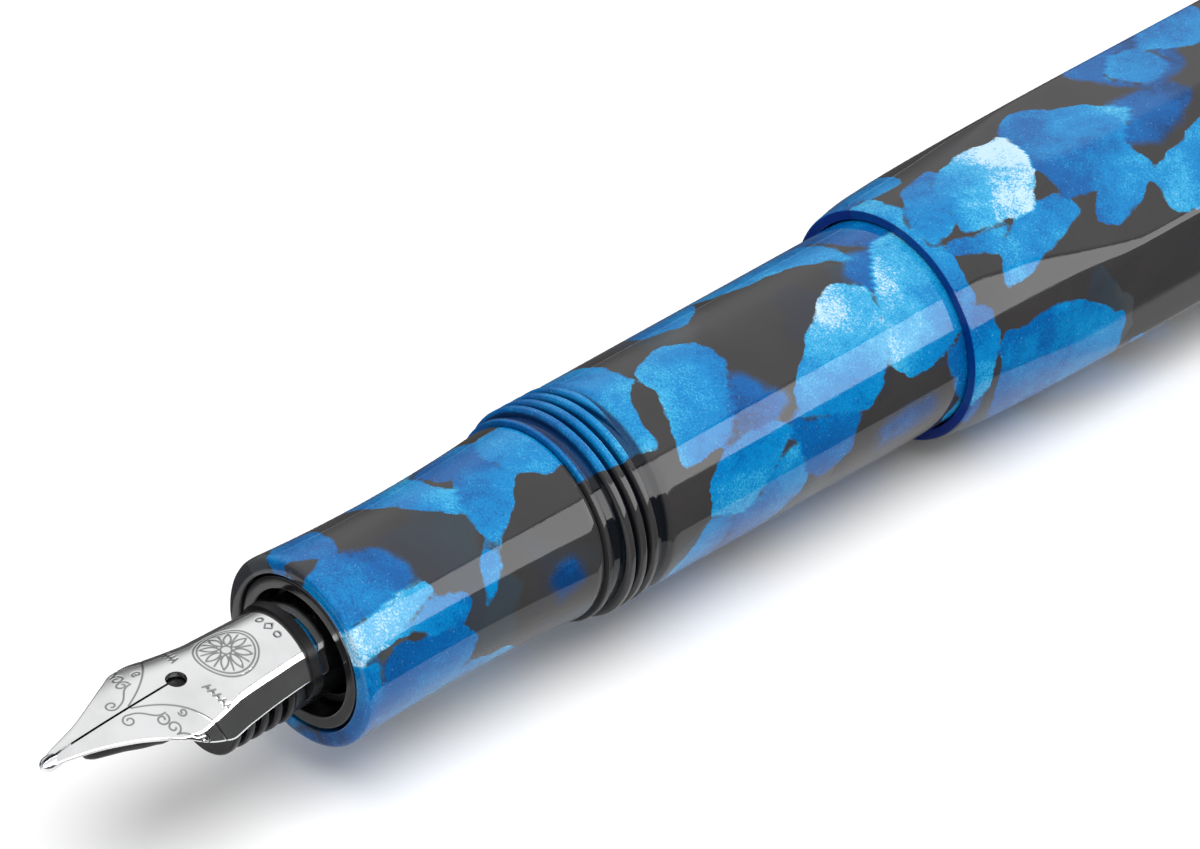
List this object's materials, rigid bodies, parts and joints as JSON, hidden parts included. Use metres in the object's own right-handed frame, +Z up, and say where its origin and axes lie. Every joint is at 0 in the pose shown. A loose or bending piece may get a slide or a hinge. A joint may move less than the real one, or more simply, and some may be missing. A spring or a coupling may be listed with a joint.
{
  "type": "fountain pen",
  "caption": "Pocket fountain pen with an eight-sided marbled resin cap posted on its tapered barrel, a waisted screw-off grip section and a folded steel nib.",
  "frame": {"origin": "on the table under the middle of the posted pen's length", "axes": "+X along the pen from the nib to the end of the cap, +Z up from the cap flat that the pen lies on"},
  "size_m": [0.116, 0.0136, 0.0135],
  "materials": {
    "marbled_resin": "polished pearl resin, azure and charcoal marbling",
    "black_plastic": "smooth moulded black",
    "nib_steel": "polished steel, engraved",
    "nib_pellet": "ground hard metal",
    "seal_rubber": "matte",
    "cartridge_plastic": "translucent moulding filled with blue ink",
    "polished_metal": "bright plated",
    "finial_enamel": "dark blue enamel over struck metal"
  },
  "bodies": {
    "barrel": {"barrel_shell": "marbled_resin"},
    "inner_cap": {"cap_liner": "black_plastic"},
    "cap": {"cap_shell": "marbled_resin", "finial_disc": "finial_enamel", "finial_bezel": "polished_metal", "finial_screw": "polished_metal"},
    "section_seal": {"section_oring": "seal_rubber"},
    "section": {"section_core": "black_plastic", "section_shell": "marbled_resin"},
    "nib_unit": {"nib": "nib_steel", "nib_tip_left": "nib_pellet", "nib_tip_right": "nib_pellet", "feed": "black_plastic", "nib_housing": "black_plastic"},
    "cartridge": {"cartridge_shell": "cartridge_plastic", "cartridge_ball": "nib_pellet"}
  },
  "joints": [
    {"name": "cap_slide", "type": "slide", "parent": "barrel", "child": "inner_cap", "axis": [1, 0, 0], "range_m": [0, 0.05]},
    {"name": "cap_turn", "type": "hinge", "parent": "inner_cap", "child": "cap", "pos_m": [0.025, 0, 0.00675], "axis": [1, 0, 0], "continuous": true},
    {"name": "section_travel", "type": "slide", "parent": "barrel", "child": "section_seal", "axis": [-1, 0, 0], "range_m": [0, 0.006]},
    {"name": "section_turn", "type": "hinge", "parent": "section_seal", "child": "section", "pos_m": [-0.0279, 0, 0.00675], "axis": [-1, 0, 0], "range_deg": [0, 2880]},
    {"name": "nib_pull", "type": "slide", "parent": "section", "child": "nib_unit", "axis": [-1, 0, 0], "range_m": [0, 0.016]},
    {"name": "cartridge_pull", "type": "slide", "parent": "section", "child": "cartridge", "axis": [1, 0, 0], "range_m": [0, 0.008]}
  ],
  "couplings": [
    {"joint": "section_travel", "follows": "section_turn", "m_per_rad": 0.00011936}
  ]
}
